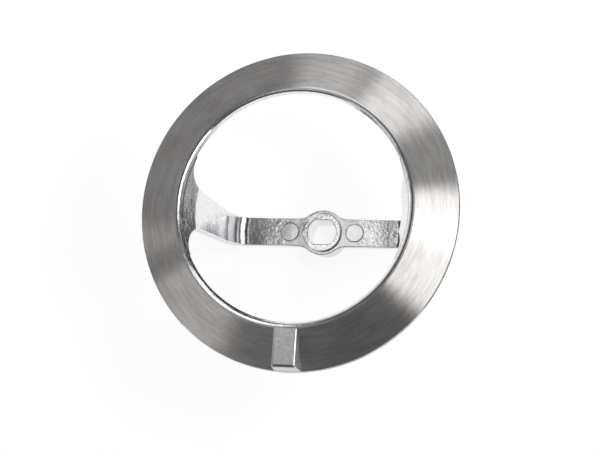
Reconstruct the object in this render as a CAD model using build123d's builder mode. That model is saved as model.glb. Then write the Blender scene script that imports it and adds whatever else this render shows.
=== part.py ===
# Agitator ring: a one-piece aluminium casting.
# A conical ring with a turned face stands on two legs over a cross arm. The arm has a hub
# with a double-D bore, and the face carries one wedge-shaped lug.
#
# Frame: millimetres. The origin is the centre of the hub's underside, +Z runs up the bore
# towards the ring, +X runs along the cross arm and the lug is on the -Y side.

import os
from math import atan, degrees, radians, tan

from build123d import *

os.makedirs("parts", exist_ok=True)

# Ring
ring_outer_radius = 87.5
ring_inner_radius = 64.0
ring_top_height = 93.0
face_drop = 12.5
rim_thickness = 2.8
rim_chamfer = 0.4
lip_depth = 4.0
lip_slope = 31.7
lip_chamfer = 0.8
face_edge_break = 1.4
face_edge_step = 0.5

# Legs and their roots under the ring
root_depth = 11.7
root_half_width = 11.0
leg_foot_radius = 52.5
leg_foot_height = 28.0
leg_thickness = 4.6
leg_setback = 0.5
foot_crease_radius = 2.0
shoulder_chamfer = 4.0
scallop_half_width = 27.0

# Cross arm
arm_half_width = 8.0
arm_thickness = 5.0
arm_top_height = 16.5
toe_slope = 71.0
toe_radius = 7.7
heel_radius = 11.0

# The upper edges of the legs and the arm are rounded. The lower ones lie on the parting line.
upper_edge_radius = 0.5

# Hub
hub_radius = 13.0
hub_blend_radius = 12.0
sleeve_radius = 12.2
sleeve_draft = 2.0
sleeve_chamfer = 0.8
collar_radius = 11.3
collar_height = 1.5
collar_chamfer = 0.7
bore_radius = 8.25
bore_flats = 14.0
bore_chamfer = 0.4

# Raised round pads on the arm
pad_radius = 5.0
pad_offset = 18.8
pad_height = 0.45
pad_chamfer = 0.3

# Lug on the face
lug_width = 12.6
lug_inner_radius = 65.3
lug_outer_radius = 86.3
lug_draft = 5.0
lug_end_radius = 1.8
lug_edge_radius = 0.8
lug_seat = 1.0

# Heights and rates that follow from the sizes above
hub_top_height = arm_top_height + collar_height
arm_bottom_height = arm_top_height - arm_thickness
root_height = ring_top_height - root_depth
lip_bottom_height = ring_top_height - lip_depth
rim_top_height = ring_top_height - face_drop
rim_bottom_height = rim_top_height - rim_thickness
lip_radius = ring_inner_radius - lip_depth * tan(radians(lip_slope))
root_radius = ring_inner_radius - root_depth * tan(radians(lip_slope))
face_rate = face_drop / (ring_outer_radius - ring_inner_radius)
underside_rate = (lip_bottom_height - rim_bottom_height) / (ring_outer_radius - lip_radius)


def face_height(radius):
    """Height of the conical face at a radius."""
    return ring_top_height - face_rate * (radius - ring_inner_radius)


def underside_height(radius):
    """Height of the ring's underside at a radius."""
    return rim_bottom_height + underside_rate * (ring_outer_radius - radius)


def corner(sketch, across, up):
    """The corner of a sketch that lies nearest to a point of it."""
    return sketch.vertices().sort_by_distance((across, up, 0))[0]


# The bowl, in section: the legs, their roots and the cross arm are slices of one turned wall.
# Its inner side follows the lip down to a crease, and its outer side stands a little outside it.
leg_rate = (root_radius - leg_foot_radius) / (root_height - leg_foot_height)
toe_start = leg_foot_radius - (leg_foot_height - arm_top_height) / tan(radians(toe_slope))
heel_corner = leg_foot_radius + leg_thickness - leg_rate * (leg_foot_height - arm_bottom_height)
shoulder_corner = lip_radius + leg_setback
shoulder_reach = shoulder_corner + 2 * shoulder_chamfer
bury = rim_thickness / 2

with BuildPart() as bowl:
    with BuildSketch(Plane.XZ) as bowl_section:
        with BuildLine():
            Polyline(
                (0, arm_bottom_height),
                (0, arm_top_height),
                (toe_start, arm_top_height),
                (leg_foot_radius, leg_foot_height),
                (root_radius, root_height),
                (lip_radius, lip_bottom_height),
                (lip_radius + bury, lip_bottom_height + bury),
                (shoulder_reach, underside_height(shoulder_reach) + bury),
                (shoulder_reach, underside_height(shoulder_reach)),
                (shoulder_corner, underside_height(shoulder_corner)),
                (heel_corner, arm_bottom_height),
                close=True,
            )
        make_face()
        fillet(corner(bowl_section, toe_start, arm_top_height), toe_radius)
        fillet(corner(bowl_section, leg_foot_radius, leg_foot_height), foot_crease_radius)
        fillet(corner(bowl_section, heel_corner, arm_bottom_height), heel_radius)
        chamfer(corner(bowl_section, shoulder_corner, underside_height(shoulder_corner)), shoulder_chamfer)
    revolve(axis=Axis.Z)

# The arm swells round the hub in plan. A leg and its end of the arm start where the swell ends.
swell_reach = hub_radius + hub_blend_radius
notch = (hub_radius**2 - arm_half_width**2) ** 0.5

# Seen along the arm, the legs and the arm narrow downwards at one even rate from the creases.
slice_rate = (root_half_width - arm_half_width) / (root_height - arm_top_height)
slice_draft = degrees(atan(slice_rate))
slice_foot_half_width = arm_half_width - slice_rate * arm_top_height
between_legs = Vector(0, 0, root_height)

with BuildPart() as legs:
    add(bowl.part)
    with BuildSketch(Plane.YZ.offset(swell_reach)):
        Polygon(
            (-slice_foot_half_width, 0),
            (slice_foot_half_width, 0),
            (root_half_width, root_height),
            (-root_half_width, root_height),
            align=None,
        )
    extrude(amount=ring_outer_radius, mode=Mode.INTERSECT)
    sides = legs.faces().sort_by(Axis.Y)
    side_edges = sides[0].edges() + sides[-1].edges()
    end_edges = legs.faces().sort_by(Axis.X)[0].edges() + legs.faces().sort_by(Axis.Z)[-1].edges()
    upper_faces = legs.faces().filter_by(lambda face: face.normal_at().dot(between_legs - face.center()) > 0)
    upper_edges = [edge for edge in side_edges if edge in upper_faces.edges() and edge not in end_edges]
    fillet(upper_edges, upper_edge_radius)
    mirror(about=Plane.YZ)

# Above the crease of each leg the wall flares into the ring in two scallops.
with BuildPart() as roots:
    add(bowl.part)
    with BuildSketch(Plane.YZ):
        with BuildLine():
            Line((0, root_height), (root_half_width, root_height))
            TangentArc(
                (scallop_half_width, lip_bottom_height), (root_half_width, root_height), tangent=(-1, 0)
            )
            Polyline(
                (scallop_half_width, lip_bottom_height),
                (scallop_half_width, ring_top_height),
                (0, ring_top_height),
                (0, root_height),
            )
        make_face()
        mirror(about=Plane.YZ)
    extrude(amount=ring_outer_radius, both=True, mode=Mode.INTERSECT)

# The swell, the middle stretch of the arm
with BuildPart() as swell:
    with BuildSketch(Plane.XY.offset(arm_top_height)) as swell_plan:
        Circle(hub_radius)
        Rectangle(2 * (swell_reach + arm_thickness), 2 * arm_half_width)
        notches = [corner(swell_plan, x, y) for x in (-notch, notch) for y in (-arm_half_width, arm_half_width)]
        fillet(notches, hub_blend_radius)
    extrude(amount=-arm_thickness, taper=slice_draft)
    end_edges = swell.edges().filter_by(Axis.Y)
    fillet([edge for edge in swell.edges().group_by(Axis.Z)[-1] if edge not in end_edges], upper_edge_radius)
    with BuildSketch(Plane.XY.offset(arm_top_height)):
        Rectangle(2 * swell_reach, 2 * swell_reach)
    extrude(amount=-arm_thickness, mode=Mode.INTERSECT)

# The collar and the sleeve of the hub
with BuildPart() as hub:
    with BuildSketch(Plane.XY.offset(arm_bottom_height)):
        Circle(collar_radius)
    extrude(amount=hub_top_height - arm_bottom_height)
    chamfer(hub.edges().group_by(Axis.Z)[-1], collar_chamfer)
    with BuildSketch(Plane.XY.offset(arm_top_height - arm_thickness / 2)):
        Circle(sleeve_radius)
    extrude(amount=-(arm_top_height - arm_thickness / 2), taper=sleeve_draft)
    chamfer(hub.edges().group_by(Axis.Z)[0], sleeve_chamfer)

# The lug: level on top, drafted on its sides and end, rounder at its outer end, seated in the face
lug_top_height = face_height(lug_inner_radius)

with BuildPart() as lug:
    with BuildSketch(Plane.XY.offset(lug_top_height)):
        with Locations((0, -(lug_inner_radius + lug_outer_radius) / 2)):
            Rectangle(lug_width, lug_outer_radius - lug_inner_radius)
    extrude(amount=-(lug_top_height - rim_top_height + lug_seat), taper=-lug_draft)
    fillet(lug.edges().group_by(Axis.Z)[-1].sort_by(Axis.Y)[0], lug_end_radius)
    lug_sides = lug.faces().sort_by(Axis.X)
    seat_edges = lug.edges().group_by(Axis.Z)[0]
    lug_edges = [e for e in lug_sides[0].edges() + lug_sides[-1].edges() if e not in seat_edges]
    fillet(lug_edges, lug_edge_radius)
    with BuildSketch(Plane.XZ):
        Polygon(
            (lip_radius, face_height(lip_radius) - lug_seat),
            (ring_outer_radius, rim_top_height - lug_seat),
            (ring_outer_radius, ring_top_height),
            (lip_radius, ring_top_height),
            align=None,
        )
    revolve(axis=Axis.Z, mode=Mode.INTERSECT)

with BuildPart() as agitator_ring:
    # The conical ring, thicker towards its inner lip, its inner edge broken in three facets
    with BuildSketch(Plane.XZ) as ring_section:
        with BuildLine():
            Polyline(
                (ring_inner_radius, ring_top_height),
                (ring_outer_radius, rim_top_height),
                (ring_outer_radius, rim_bottom_height),
                (lip_radius, lip_bottom_height),
                close=True,
            )
        make_face()
        chamfer(corner(ring_section, ring_inner_radius, ring_top_height), face_edge_break)
        inner_edge = ring_section.vertices().sort_by_distance((ring_inner_radius, ring_top_height, 0))
        chamfer(inner_edge[:2], face_edge_step)
        chamfer(corner(ring_section, lip_radius, lip_bottom_height), lip_chamfer)
        chamfer(corner(ring_section, ring_outer_radius, rim_top_height), rim_chamfer)
        chamfer(corner(ring_section, ring_outer_radius, rim_bottom_height), rim_chamfer)
    revolve(axis=Axis.Z)
    add(lug.part)
    add(legs.part)
    add(roots.part)
    add(swell.part)
    add(hub.part)

    # The two raised pads on the arm
    with BuildSketch(Plane.XY.offset(arm_bottom_height + arm_thickness / 2)):
        with Locations((-pad_offset, 0), (pad_offset, 0)):
            Circle(pad_radius)
    extrude(amount=arm_thickness / 2 + pad_height)
    pad_top_height = arm_top_height + pad_height
    pad_edges = agitator_ring.edges().filter_by_position(Axis.Z, pad_top_height, pad_top_height)
    chamfer(pad_edges, pad_chamfer)

    # The double-D bore
    with BuildSketch(Plane.XY):
        Circle(bore_radius)
        Rectangle(2 * bore_radius, bore_flats, mode=Mode.INTERSECT)
    extrude(amount=hub_top_height, mode=Mode.SUBTRACT)
    mouth = agitator_ring.edges().filter_by_position(Axis.Z, hub_top_height, hub_top_height)
    foot = agitator_ring.edges().filter_by_position(Axis.Z, 0, 0)
    bore_edges = [
        edge
        for edge in mouth + foot
        if edge.bounding_box().max.X < bore_radius + bore_chamfer and edge.bounding_box().max.Y <= bore_radius
    ]
    chamfer(bore_edges, bore_chamfer)

agitator_ring.part.label = "agitator_ring"
export_step(agitator_ring.part, "parts/agitator_ring.step")
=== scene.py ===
"""Looks of the agitator ring: one aluminium casting with a turned conical face, on a white table."""

from math import cos, pi, radians, sin
from types import SimpleNamespace

import bpy
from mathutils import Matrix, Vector


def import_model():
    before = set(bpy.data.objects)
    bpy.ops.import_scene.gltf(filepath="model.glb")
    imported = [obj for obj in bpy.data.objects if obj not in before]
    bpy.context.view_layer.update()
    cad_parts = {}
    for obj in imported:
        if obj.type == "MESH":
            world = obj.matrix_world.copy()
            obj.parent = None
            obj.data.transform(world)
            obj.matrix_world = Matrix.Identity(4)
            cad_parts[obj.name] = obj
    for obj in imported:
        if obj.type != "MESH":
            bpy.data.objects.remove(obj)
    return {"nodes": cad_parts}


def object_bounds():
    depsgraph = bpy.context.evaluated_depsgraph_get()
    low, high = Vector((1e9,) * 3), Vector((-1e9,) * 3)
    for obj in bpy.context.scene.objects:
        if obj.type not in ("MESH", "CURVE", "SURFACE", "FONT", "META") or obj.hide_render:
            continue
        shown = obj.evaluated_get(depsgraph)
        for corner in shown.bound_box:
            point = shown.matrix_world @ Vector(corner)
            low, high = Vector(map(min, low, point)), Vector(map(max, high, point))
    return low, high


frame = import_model()
cad_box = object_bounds()


def grey(level):
    """A neutral colour."""
    return (level, level, level, 1.0)


# Sizes of the casting, in metres
RING_TOP = 0.093
FACE_INNER_RADIUS = 0.064
FACE_OUTER_RADIUS = cad_box[1][0]
FACE_DROP = 0.0125
FACE_FALL = FACE_DROP / (FACE_OUTER_RADIUS - FACE_INNER_RADIUS)
ARM_TOP = 0.0165
PAD_OFFSET = 0.0188
PAD_RADIUS = 0.005

# Each zone below has pairs of limits: outside up to the first value, and fully inside from the second

# The turned surfaces, by the height over the face's cone and by the radius
FACE_FLOOR = (-0.0007, -0.0005)
FACE_CEILING = (0.00035, 0.0001)
RIM = (FACE_OUTER_RADIUS - 0.0006, FACE_OUTER_RADIUS - 0.0003)

# The smooth strip at the face's inner edge, by radius and height
STRIP_SIDE = (FACE_INNER_RADIUS + 0.0009, FACE_INNER_RADIUS + 0.0006)
STRIP_FLOOR = (RING_TOP - 0.0020, RING_TOP - 0.0017)

# The lug, by the height over the face's cone
LUG_FLOOR = (0.0002, 0.0004)

# The arm's top, by height, and its two ends, by x, which get painted shade in darker tones. The right one
# is only partly so.
ARM_FLOOR = (ARM_TOP - 0.0015, ARM_TOP - 0.0005)
ARM_CEILING = (ARM_TOP + 0.0008, ARM_TOP + 0.0005)
LEFT_END = (-0.028, -0.040)
RIGHT_END = (0.028, 0.038)
RIGHT_END_SHADE_SHARE = 0.6

# The calmer zone round the hub, which gets painted shade, from the bore's edge outward, by radius
HUB_BORE_SIDE = (0.0090, 0.0094)
HUB_ARM_SIDE = (0.025, 0.017)

# The pads, which get a painted highlight, and the painted shade line round their foot, by the distance
# from the pad's middle and by height
PAD_SIDE = (PAD_RADIUS + 0.0001, PAD_RADIUS - 0.0001)
PAD_FLOOR = (ARM_TOP + 0.0001, ARM_TOP + 0.0002)
FOOT_SIDE = (PAD_RADIUS + 0.0007, PAD_RADIUS + 0.0003)
FOOT_FLOOR = (ARM_TOP - 0.002, ARM_TOP - 0.001)
FOOT_CEILING = (ARM_TOP + 0.0004, ARM_TOP + 0.0003)

# Faces that look outward or down are rougher and get painted shade, by the parts of their normal
LOOKS_OUT = (0.3, 0.7)
LOOKS_DOWN = (-0.2, -0.6)

# The sides of the legs and of the arm partly get the same roughness and painted shade, by their normal and
# by height
LOOKS_SIDEWAYS = (0.8, 0.95)
LEG_CEILING = (RING_TOP - 0.013, RING_TOP - 0.015)
LEG_SIDE_DULL_AND_SHADE = 0.6

# Faces get all of that roughness and painted shade only past the sleeve, by radius, and the sleeve has a
# share of it
PAST_SLEEVE = (0.014, 0.018)
SLEEVE_DULL_AND_SHADE = 0.5

# Tool marks as length, width and detail, and the radius at which they have that length
FINE_MARKS = (0.003, 0.00025, 2.0)
BROAD_MARKS = (0.014, 0.0014, 3.0)
MARK_RADIUS = 0.076

# A cloudy noise as scale and detail, and the weights of the marks and the cloud in the metal's tone
CLOUD = (45.0, 3.0)
FINE_WEIGHT = 0.3
BROAD_WEIGHT = 0.4
CLOUD_WEIGHT = 0.3

# The turned metal. Its highlights stretch across the marks, a quarter turn from the tangent.
TURNED_TONES = ((0.54, 0.515, 0.50, 1.0), (0.76, 0.75, 0.735, 1.0))
TURNED_BUMP = 0.00003
TURNED_BUMP_SHARE = 0.45
TURNED_ROUGHNESS = 0.30
TURNED_STRETCH = 0.95
QUARTER_TURN = 0.25

# The as-cast skin: noises as scale and detail, and the heights of their bumps in metres
WAVES = (95.0, 1.0)
FLOW = (600.0, 3.0)
GRAIN = (2200.0, 1.0)
WAVE_BUMP = 0.0002
FLOW_BUMP = 0.00009
GRAIN_BUMP = 0.00003
FLOW_WEIGHT = 0.5
GRAIN_WEIGHT = 0.5

# What the plain zones and the hub lose of the flow marks, and what the pads lose of the grain
PLAIN_FLOW_LOSS = 0.9
HUB_FLOW_LOSS = 0.6
PAD_GRAIN_LOSS = 0.6

# Colours of the skin: dark and light tones, and the single colours of a pad and its foot. Only the bright
# tones are the metal's own; the others are painted shade, and the pad's colour is a painted highlight.
BRIGHT_TONES = ((0.78, 0.785, 0.795, 1.0), grey(0.94))
# Painted shade: the darker tones round the hub, and in part at the arm's right end
HUB_SHADE_TONES = ((0.56, 0.565, 0.575, 1.0), (0.66, 0.66, 0.665, 1.0))
# Painted shade: the darkest tones, at the arm's left end
LEFT_END_SHADE_TONES = ((0.36, 0.365, 0.38, 1.0), (0.50, 0.505, 0.515, 1.0))
# Painted shade: the darker tones of faces that look outward, down or sideways
DULL_SHADE_TONES = ((0.50, 0.505, 0.515, 1.0), grey(0.62))
# Painted highlight: the pads' light colour
PAD_HIGHLIGHT_COLOR = (0.95, 0.945, 0.94, 1.0)
# Painted shade: the dark line round each pad's foot
FOOT_SHADE_COLOR = (0.36, 0.36, 0.37, 1.0)

# The values of a mixed noise at which a surface has its dark and its light tone
TONE_RANGE = (0.35, 0.65)

# Roughness of the skin, and what the grain, the dull faces and the pads add to it
SKIN_ROUGHNESS = 0.10
GRAIN_ROUGHNESS = 0.10
DULL_ROUGHNESS = 0.18
PAD_ROUGHNESS = 0.07

# The white table: its diffuse tones, and its reflecting and glowing shares for camera and mirror rays
TABLE_TONES = (grey(0.79), grey(0.81))
TABLE_GRAIN = 30.0
TABLE_SHADED = grey(0.45)
TABLE_GLOW = 0.81

# Its shape: radius, radius of the bend, height of the wall in metres, and how finely it is divided
TABLE_REACH = 8.0
TABLE_BEND = 0.5
TABLE_WALL = 1.1
TABLE_SIDES = 96
TABLE_BEND_STEP = 15

# Black cards that lie on the table, seen only in reflections: azimuth from and to, inner and outer radius
CARDS = {
    "card_right": (-35, 75, 0.13, 0.60),
    "card_back": (75, 110, 0.085, 0.60),
    "card_left": (130, 215, 0.11, 0.45),
}
CARD_LEVEL = 0.0005
CARD_STEP = 5
CARD_GRAIN = 60.0
CARD_TONES = ((0.03, 0.032, 0.036, 1.0), (0.05, 0.052, 0.056, 1.0))

# The room, and the middle of the object, which the soft boxes face
ROOM_COLOR = (0.98, 1.0, 1.04, 1.0)
ROOM_LEVEL = 0.08
MIDDLE = Vector((0.0, 0.0, 0.06))

# How far the soft boxes stand from the middle, and the colour that most of them have
FAR = 1.3
NEAR = 0.4
NEUTRAL = (1.0, 1.0, 1.0)

# Soft boxes, in degrees and metres: azimuth, elevation, width, height, level, colour, distance
BOXES = {
    "box_right": (345, 46, 0.72, 0.38, 3.6, NEUTRAL, FAR),
    "box_right_high": (14, 50, 0.40, 0.70, 3.0, NEUTRAL, FAR),
    "box_between": (38, 45, 0.35, 0.60, 0.4, NEUTRAL, FAR),
    "box_back_right": (67, 38, 0.50, 0.80, 1.5, NEUTRAL, FAR),
    "box_back": (97, 50, 0.40, 0.90, 1.6, NEUTRAL, FAR),
    "box_far_left": (179, 28, 0.18, 0.50, 0.5, (1.0, 0.98, 0.96), FAR),
    "box_left": (209, 30, 0.70, 0.80, 0.6, (1.0, 0.96, 0.93), FAR),
    "box_over": (142, 75, 0.085, 0.07, 1.6, (1.0, 0.98, 0.97), NEAR),
    "box_lug": (200, 76, 0.09, 0.09, 0.36, (1.0, 0.99, 0.97), NEAR),
}

# The camera of the photograph: place in metres, turns in degrees, lens and sensor in millimetres
CAMERA_PLACE = (0.22674, -0.18941, 1.03426)
CAMERA_TURN = (11.287, 12.600, 3.580)
CAMERA_LENS = 111.56
CAMERA_SENSOR = 36.0
CAMERA_CLIP = 0.01


def add(tree, kind, inputs=None, **settings):
    """Adds a node, sets its properties, and fills its inputs with values or links."""
    made = tree.nodes.new(kind)
    for name, value in settings.items():
        setattr(made, name, value)
    for key, value in (inputs or {}).items():
        if isinstance(value, bpy.types.NodeSocket):
            tree.links.new(value, made.inputs[key])
        else:
            made.inputs[key].default_value = value
    return made


def calc(tree, operation, *terms):
    """The result of a Math node."""
    return add(tree, "ShaderNodeMath", dict(enumerate(terms)), operation=operation).outputs[0]


def chain(tree, operation, first, *others):
    """The result of one operation on several values, taken in turn."""
    result = first
    for other in others:
        result = calc(tree, operation, result, other)
    return result


def product(tree, *factors):
    """The product of several values."""
    return chain(tree, "MULTIPLY", *factors)


def greatest(tree, *values):
    """The greatest of several values."""
    return chain(tree, "MAXIMUM", *values)


def weighted(tree, *pairs):
    """The sum of several values, each times its weight."""
    return chain(tree, "ADD", *(product(tree, value, weight) for value, weight in pairs))


def rest_of(tree, share):
    """What a share leaves of the whole."""
    return calc(tree, "SUBTRACT", 1.0, share)


def distance(tree, first, second):
    """How far a point is from zero, by two coordinates at right angles."""
    squares = calc(tree, "ADD", product(tree, first, first), product(tree, second, second))
    return calc(tree, "SQRT", squares)


def step(tree, value, limits):
    """0 up to the first limit, 1 from the second on, and smooth between. Either may be the higher."""
    inputs = {"Value": value, "From Min": limits[0], "From Max": limits[1]}
    return add(tree, "ShaderNodeMapRange", inputs, interpolation_type="SMOOTHSTEP").outputs["Result"]


def noise(tree, vector, scale, detail=2.0):
    """The factor of a Noise texture."""
    inputs = {"Vector": vector, "Scale": scale, "Detail": detail}
    return add(tree, "ShaderNodeTexNoise", inputs).outputs["Fac"]


def blend(tree, factor, first, second):
    """A colour between two colours or links."""
    inputs = {"Factor": factor, "A": first, "B": second}
    return add(tree, "ShaderNodeMix", inputs, data_type="RGBA").outputs["Result"]


def mix(tree, factor, first, second):
    """A shader between two shaders."""
    return add(tree, "ShaderNodeMixShader", {0: factor, 1: first, 2: second}).outputs[0]


def bump(tree, height, size, strength=1.0, **below):
    """The normal of a bumpy surface. It lies on another bumpy surface where that one's Normal is given."""
    inputs = {"Height": height, "Distance": size, "Strength": strength, **below}
    return add(tree, "ShaderNodeBump", inputs).outputs["Normal"]


def new_material(name):
    """An empty node material and its tree."""
    material = bpy.data.materials.new(name)
    material.use_nodes = True
    material.node_tree.nodes.clear()
    return material, material.node_tree


def finish_material(tree, surface):
    """Puts a shader on the material's output."""
    add(tree, "ShaderNodeOutputMaterial", {"Surface": surface})


def polar(tree, place):
    """A place's coordinates, its distance from the axis, and its direction from the axis."""
    x, y, z = add(tree, "ShaderNodeSeparateXYZ", {0: place}).outputs
    radius = distance(tree, x, y)
    round_x = calc(tree, "DIVIDE", x, radius)
    round_y = calc(tree, "DIVIDE", y, radius)
    return SimpleNamespace(x=x, y=y, z=z, radius=radius, round_x=round_x, round_y=round_y)


def height_over_cone(tree, at):
    """How far a point stands over the cone of the face."""
    fall = product(tree, calc(tree, "SUBTRACT", at.radius, FACE_INNER_RADIUS), FACE_FALL)
    return calc(tree, "SUBTRACT", at.z, calc(tree, "SUBTRACT", RING_TOP, fall))


def dull_and_shade_share(tree, at, normal):
    """How much extra roughness and painted shade a point's face gets, by how far it looks outward, down or
    sideways.
    """
    facing_x, facing_y, facing_z = add(tree, "ShaderNodeSeparateXYZ", {0: normal}).outputs
    outward = calc(tree, "ADD", product(tree, facing_x, at.round_x), product(tree, facing_y, at.round_y))
    leg_side = product(
        tree,
        step(tree, calc(tree, "ABSOLUTE", facing_y), LOOKS_SIDEWAYS),
        LEG_SIDE_DULL_AND_SHADE,
        step(tree, at.z, LEG_CEILING),
    )
    dull_and_shade = greatest(tree, step(tree, outward, LOOKS_OUT), step(tree, facing_z, LOOKS_DOWN), leg_side)
    past_sleeve = product(tree, 1.0 - SLEEVE_DULL_AND_SHADE, step(tree, at.radius, PAST_SLEEVE))
    return product(tree, dull_and_shade, calc(tree, "ADD", SLEEVE_DULL_AND_SHADE, past_sleeve))


def casting_zones(tree, at, normal):
    """How far a point belongs to each zone of the casting, as shares from 0 to 1."""
    over = height_over_cone(tree, at)
    strip = product(tree, step(tree, at.radius, STRIP_SIDE), step(tree, at.z, STRIP_FLOOR))
    face = product(tree, step(tree, over, FACE_FLOOR), step(tree, over, FACE_CEILING))
    rim = step(tree, at.radius, RIM)
    lug = step(tree, over, LUG_FLOOR)

    from_pad = distance(tree, calc(tree, "SUBTRACT", calc(tree, "ABSOLUTE", at.x), PAD_OFFSET), at.y)
    pad = product(tree, step(tree, from_pad, PAD_SIDE), step(tree, at.z, PAD_FLOOR))
    # The painted shade line round each pad's foot
    foot_height = product(tree, step(tree, at.z, FOOT_CEILING), step(tree, at.z, FOOT_FLOOR))
    foot_shade = product(tree, step(tree, from_pad, FOOT_SIDE), foot_height)
    arm_top = product(tree, step(tree, at.z, ARM_CEILING), step(tree, at.z, ARM_FLOOR))
    round_hub = product(tree, step(tree, at.radius, HUB_ARM_SIDE), step(tree, at.radius, HUB_BORE_SIDE))
    return SimpleNamespace(
        turned=product(tree, greatest(tree, face, rim), rest_of(tree, strip)),
        # Faces that look outward, down or sideways: more roughness and painted shade
        dull_and_shade=dull_and_shade_share(tree, at, normal),
        plain=greatest(tree, pad, lug, strip),
        # The pads: calmer bumps, more roughness and a painted highlight
        pad=pad,
        foot_shade=foot_shade,
        # Round the hub: calmer flow marks and painted shade. At the arm's right end: painted shade in part
        hub=product(tree, round_hub, arm_top),
        # At the arm's left end: painted shade
        left_end_shade=product(tree, step(tree, at.x, LEFT_END), arm_top),
        right_end_shade=product(tree, step(tree, at.x, RIGHT_END), arm_top, RIGHT_END_SHADE_SHARE),
    )


def tool_marks(tree, at, length, width, detail):
    """Noise in streaks of about this length round the axis and this width across."""
    turns = MARK_RADIUS / length
    unrolled = {
        0: product(tree, at.round_x, turns),
        1: product(tree, at.round_y, turns),
        2: calc(tree, "DIVIDE", at.radius, width),
    }
    return noise(tree, add(tree, "ShaderNodeCombineXYZ", unrolled).outputs[0], 1.0, detail)


def turned_metal(tree, place, at):
    """Metal with fine tool marks round the axis, rougher across them than along them."""
    fine_marks = tool_marks(tree, at, *FINE_MARKS)
    broad_marks = tool_marks(tree, at, *BROAD_MARKS)
    cloud = noise(tree, place, *CLOUD)
    shade = weighted(tree, (broad_marks, BROAD_WEIGHT), (cloud, CLOUD_WEIGHT), (fine_marks, FINE_WEIGHT))
    inputs = {
        "Base Color": blend(tree, step(tree, shade, TONE_RANGE), *TURNED_TONES),
        "Metallic": 1.0,
        "Roughness": TURNED_ROUGHNESS,
        "Anisotropic": TURNED_STRETCH,
        "Anisotropic Rotation": QUARTER_TURN,
        "Tangent": add(tree, "ShaderNodeTangent", direction_type="RADIAL", axis="Z").outputs["Tangent"],
        "Normal": bump(tree, fine_marks, TURNED_BUMP, TURNED_BUMP_SHARE),
    }
    return add(tree, "ShaderNodeBsdfPrincipled", inputs).outputs[0]


def skin_color(tree, tone, zones):
    """The skin's colour, with painted shade round the hub, at the arm's ends, round the pads' foot and on
    outer faces, and a painted highlight on the pads.
    """
    color = blend(tree, tone, *BRIGHT_TONES)
    # Painted shade: a darker grey round the hub and, in part, at the arm's right end
    hub_and_right_end_shade = greatest(tree, zones.hub, zones.right_end_shade)
    color = blend(tree, hub_and_right_end_shade, color, blend(tree, tone, *HUB_SHADE_TONES))
    # Painted shade: the darkest tones at the arm's left end
    color = blend(tree, zones.left_end_shade, color, blend(tree, tone, *LEFT_END_SHADE_TONES))
    # Painted highlight: the pads are painted light
    color = blend(tree, zones.pad, color, PAD_HIGHLIGHT_COLOR)
    # Painted shade: a dark line round each pad's foot
    color = blend(tree, zones.foot_shade, color, FOOT_SHADE_COLOR)
    # Painted shade: faces that look outward, down or sideways are painted darker
    return blend(tree, zones.dull_and_shade, color, blend(tree, tone, *DULL_SHADE_TONES))


def cast_skin(tree, place, zones):
    """As-cast metal: slow waves, flow marks about a millimetre across, and a fine grain."""
    waves = noise(tree, place, *WAVES)
    flow = noise(tree, place, *FLOW)
    grain = noise(tree, place, *GRAIN)
    tone = step(tree, weighted(tree, (flow, FLOW_WEIGHT), (grain, GRAIN_WEIGHT)), TONE_RANGE)

    plain_loss = product(tree, zones.plain, PLAIN_FLOW_LOSS)
    flow_loss = greatest(tree, plain_loss, product(tree, zones.hub, HUB_FLOW_LOSS))
    grain_loss = product(tree, zones.pad, PAD_GRAIN_LOSS)
    normal = bump(tree, waves, WAVE_BUMP)
    normal = bump(tree, flow, FLOW_BUMP, rest_of(tree, flow_loss), Normal=normal)
    normal = bump(tree, grain, GRAIN_BUMP, rest_of(tree, grain_loss), Normal=normal)

    even = calc(tree, "ADD", SKIN_ROUGHNESS, product(tree, grain, GRAIN_ROUGHNESS))
    more = weighted(tree, (zones.dull_and_shade, DULL_ROUGHNESS), (zones.pad, PAD_ROUGHNESS))
    inputs = {
        "Base Color": skin_color(tree, tone, zones),
        "Metallic": 1.0,
        "Roughness": calc(tree, "ADD", even, more),
        "Normal": normal,
    }
    return add(tree, "ShaderNodeBsdfPrincipled", inputs).outputs[0]


def cast_aluminium():
    """Bright as-cast skin with a finely turned face and rim."""
    material, tree = new_material("cast_aluminium")
    coordinates = add(tree, "ShaderNodeTexCoord").outputs
    place = coordinates["Object"]
    at = polar(tree, place)
    zones = casting_zones(tree, at, coordinates["Normal"])
    skin = cast_skin(tree, place, zones)
    turned = turned_metal(tree, place, at)
    finish_material(tree, mix(tree, zones.turned, skin, turned))
    return material


def white_table():
    """White with a soft shadow to the camera and in reflections, and diffuse white to all other rays."""
    material, tree = new_material("white_table")
    place = add(tree, "ShaderNodeTexCoord").outputs["Object"]
    tone = blend(tree, noise(tree, place, TABLE_GRAIN), *TABLE_TONES)
    matt = add(tree, "ShaderNodeBsdfDiffuse", {"Color": tone}).outputs[0]
    shaded = add(tree, "ShaderNodeBsdfDiffuse", {"Color": TABLE_SHADED}).outputs[0]
    glow = add(tree, "ShaderNodeEmission", {"Color": grey(1.0), "Strength": TABLE_GLOW}).outputs[0]
    white = add(tree, "ShaderNodeAddShader", {0: shaded, 1: glow}).outputs[0]
    rays = add(tree, "ShaderNodeLightPath").outputs
    seen = greatest(tree, rays["Is Camera Ray"], rays["Is Glossy Ray"], rays["Is Transmission Ray"])
    finish_material(tree, mix(tree, seen, matt, white))
    return material


def black_card():
    """Matt black card."""
    material, tree = new_material("black_card")
    place = add(tree, "ShaderNodeTexCoord").outputs["Object"]
    tone = blend(tree, noise(tree, place, CARD_GRAIN), *CARD_TONES)
    finish_material(tree, add(tree, "ShaderNodeBsdfDiffuse", {"Color": tone}).outputs[0])
    return material


def stand(name, data):
    """Puts a new object in the scene."""
    made = bpy.data.objects.new(name, data)
    bpy.context.scene.collection.objects.link(made)
    return made


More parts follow.
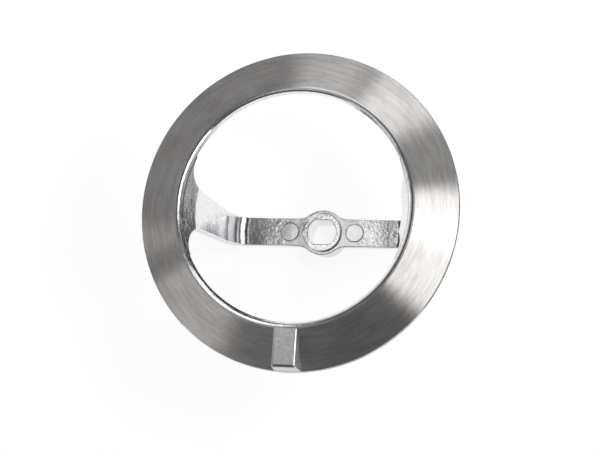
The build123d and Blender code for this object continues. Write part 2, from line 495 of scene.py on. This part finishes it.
def table():
    """A round table top that rises into a low wall at its far edge, one smooth surface."""
    flat = TABLE_REACH - TABLE_BEND
    upright = 90
    bends = [radians(angle) for angle in range(TABLE_BEND_STEP, upright + 1, TABLE_BEND_STEP)]
    profile = [(flat, 0.0)]
    profile += [(flat + TABLE_BEND * sin(bend), TABLE_BEND - TABLE_BEND * cos(bend)) for bend in bends]
    profile.append((TABLE_REACH, TABLE_WALL))
    turns = [2 * pi * side / TABLE_SIDES for side in range(TABLE_SIDES)]
    points = [(0.0, 0.0, 0.0)]
    points += [(r * cos(turn), r * sin(turn), level) for r, level in profile for turn in turns]

    sides = [(side, (side + 1) % TABLE_SIDES) for side in range(TABLE_SIDES)]
    faces = [(0, 1 + i, 1 + j) for i, j in sides]
    for ring in range(len(profile) - 1):
        inner = 1 + ring * TABLE_SIDES
        outer = inner + TABLE_SIDES
        faces += [(inner + i, outer + i, outer + j, inner + j) for i, j in sides]
    mesh = bpy.data.meshes.new("table")
    mesh.from_pydata(points, [], faces)
    mesh.shade_smooth()
    mesh.materials.append(white_table())
    stand("table", mesh)


def card(name, start, stop, inner, outer, material):
    """A card on the table, part of a flat ring round the object, seen only in its reflections."""
    turns = [radians(angle) for angle in range(start, stop + 1, CARD_STEP)]
    points = [(r * cos(turn), r * sin(turn), CARD_LEVEL) for r in (inner, outer) for turn in turns]
    count = len(turns)
    faces = [(i, count + i, count + i + 1, i + 1) for i in range(count - 1)]
    mesh = bpy.data.meshes.new(name)
    mesh.from_pydata(points, [], faces)
    mesh.materials.append(material)
    made = stand(name, mesh)
    made.visible_camera = False
    made.visible_diffuse = False
    made.visible_shadow = False


def soft_box(name, azimuth, elevation, width, height, level, color, reach):
    """A soft box at an azimuth and elevation round the object. Its level is its brightness in a mirror."""
    light = bpy.data.lights.new(name, "AREA")
    light.shape = "RECTANGLE"
    light.size = width
    light.size_y = height
    light.energy = level * pi * width * height
    light.color = color
    made = stand(name, light)
    turn = radians(azimuth)
    rise = radians(elevation)
    direction = Vector((cos(rise) * cos(turn), cos(rise) * sin(turn), sin(rise)))
    made.location = MIDDLE + reach * direction
    made.rotation_euler = (-direction).to_track_quat("-Z", "Y").to_euler()
    made.visible_camera = False


def world():
    """A plain, dim grey room over the table."""
    made = bpy.data.worlds.new("room")
    made.use_nodes = True
    tree = made.node_tree
    tree.nodes.clear()
    room = add(tree, "ShaderNodeBackground", {"Color": ROOM_COLOR, "Strength": ROOM_LEVEL}).outputs[0]
    add(tree, "ShaderNodeOutputWorld", {"Surface": room})
    bpy.context.scene.world = made


def camera():
    """The camera at the photograph's place."""
    data = bpy.data.cameras.new("camera")
    data.sensor_width = CAMERA_SENSOR
    data.lens = CAMERA_LENS
    data.clip_start = CAMERA_CLIP
    made = stand("camera", data)
    made.location = CAMERA_PLACE
    made.rotation_euler = [radians(angle) for angle in CAMERA_TURN]
    bpy.context.scene.camera = made


casting = frame["nodes"]["agitator_ring"]
casting.data.materials.clear()
casting.data.materials.append(cast_aluminium())

table()
card_material = black_card()
for name, sizes in CARDS.items():
    card(name, *sizes, card_material)
world()
camera()
for name, box in BOXES.items():
    soft_box(name, *box)

bpy.context.scene.view_settings.view_transform = "Standard"
